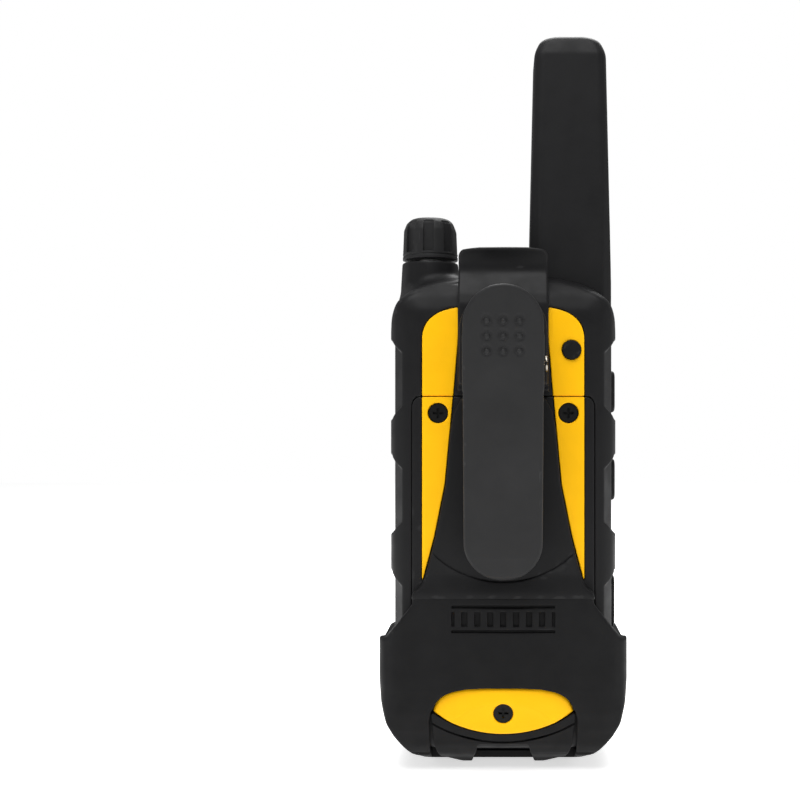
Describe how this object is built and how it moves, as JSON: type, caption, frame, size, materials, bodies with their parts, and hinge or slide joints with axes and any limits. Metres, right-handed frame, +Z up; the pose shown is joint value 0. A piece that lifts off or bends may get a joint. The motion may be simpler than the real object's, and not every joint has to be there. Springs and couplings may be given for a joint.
{
  "type": "two way radio",
  "caption": "Rugged handheld two way radio with a paddle antenna, top knob, talk and side buttons, battery door and spring belt clip.",
  "frame": {"origin": "middle of the foot's flat underside, on the plane the radio stands on", "axes": "+Z up along the antenna, the front with the display faces -Y, the belt clip is at +Y, the antenna and side buttons are at -X"},
  "size_m": [0.0632, 0.058, 0.19],
  "materials": {
    "shell": "fine moulded grain, satin black",
    "seal": "soft silicone",
    "accent": "satin safety yellow",
    "window": "polished dark window",
    "display": "unlit display glass in a frame",
    "driver": "black lacquered basket",
    "cone": "paper-like polymer cone",
    "cloth": "water resistant mesh",
    "contact_metal": "bright nickel plate",
    "board": "green solder mask",
    "encoder": "satin metal can",
    "antenna": "smooth satin moulded black",
    "copper": "drawn copper alloy",
    "cell": "shrink sleeve, plain",
    "guard": "soft matt overmoulding",
    "screw_steel": "plain zinc plate",
    "screw_black": "black oxide",
    "clip": "satin glass-filled nylon",
    "pin_nickel": "polished nickel",
    "paddle": "satin glass-filled nylon"
  },
  "bodies": {
    "radio_body": {"rear_shell": "shell", "front_shell": "shell", "case_seal": "seal", "front_bezel": "accent", "display_window": "window", "lcd_module": "display", "speaker_driver": "driver", "speaker_cone": "cone", "speaker_cloth": "cloth", "microphone": "contact_metal", "main_board": "board", "rf_shield": "contact_metal", "tact_switches": "contact_metal", "volume_encoder": "encoder", "knob_seal": "seal", "antenna_cover": "antenna", "antenna_element": "copper", "antenna_feed": "copper", "battery_cells": "cell", "cell_contacts": "contact_metal", "cell_springs": "contact_metal", "bumper": "guard", "base_lug": "guard", "rear_accents": "accent", "vent_plug": "guard", "case_screws": "screw_steel", "usb_port": "contact_metal"},
    "knob": {"volume_knob": "shell", "knob_shaft": "screw_steel"},
    "ptt": {"ptt_button": "guard"},
    "call_key": {"call_button": "guard"},
    "menu_key": {"menu_button": "guard"},
    "up_key": {"up_button": "guard"},
    "down_key": {"down_button": "guard"},
    "port_flap": {"usb_cover": "guard"},
    "door": {"battery_door": "shell", "door_accents": "accent", "door_bumper": "guard", "door_lens": "accent", "door_screws": "screw_black", "door_seal": "seal"},
    "clip_mount": {"clip_base": "clip", "clip_boss": "clip", "clip_pin": "pin_nickel", "clip_spring": "screw_steel"},
    "latch": {"clip_latch": "clip"},
    "paddle": {"clip_paddle": "paddle"}
  },
  "joints": [
    {"name": "knob_turn", "type": "hinge", "parent": "radio_body", "child": "knob", "pos_m": [0.0194, 0.0016, 0.1314], "axis": [0, 0, 1], "range_deg": [-270, 0]},
    {"name": "ptt_press", "type": "slide", "parent": "radio_body", "child": "ptt", "axis": [0, 1, 0], "range_m": [0, 0.0008], "stiffness_N_per_m": 2500, "springref_m": -0.0004},
    {"name": "call_press", "type": "slide", "parent": "radio_body", "child": "call_key", "axis": [0, 1, 0], "range_m": [0, 0.0006], "stiffness_N_per_m": 2500, "springref_m": -0.0003},
    {"name": "menu_press", "type": "slide", "parent": "radio_body", "child": "menu_key", "axis": [0, 1, 0], "range_m": [0, 0.0006], "stiffness_N_per_m": 2500, "springref_m": -0.0003},
    {"name": "up_press", "type": "slide", "parent": "radio_body", "child": "up_key", "axis": [1, 0, 0], "range_m": [0, 0.0006], "stiffness_N_per_m": 2500, "springref_m": -0.0003},
    {"name": "down_press", "type": "slide", "parent": "radio_body", "child": "down_key", "axis": [1, 0, 0], "range_m": [0, 0.0006], "stiffness_N_per_m": 2500, "springref_m": -0.0003},
    {"name": "port_flap_turn", "type": "hinge", "parent": "radio_body", "child": "port_flap", "pos_m": [-0.0283, 0.0081, 0.0416], "axis": [0, 0, -1], "range_deg": [0, 110]},
    {"name": "door_release", "type": "slide", "parent": "radio_body", "child": "door", "axis": [0, 1, 0], "range_m": [0, 0.03]},
    {"name": "clip_lift", "type": "slide", "parent": "door", "child": "clip_mount", "axis": [0, 0, 1], "range_m": [0, 0.022]},
    {"name": "latch_flex", "type": "hinge", "parent": "clip_mount", "child": "latch", "pos_m": [0, 0.0198, 0.0969], "axis": [-1, 0, 0], "range_deg": [0, 5], "stiffness_Nm_per_rad": 0.6, "springref_deg": -1.15},
    {"name": "paddle_squeeze", "type": "hinge", "parent": "clip_mount", "child": "paddle", "pos_m": [0, 0.0319, 0.1026], "axis": [1, 0, 0], "range_deg": [0, 12], "stiffness_Nm_per_rad": 0.5, "springref_deg": -6.88}
  ]
}
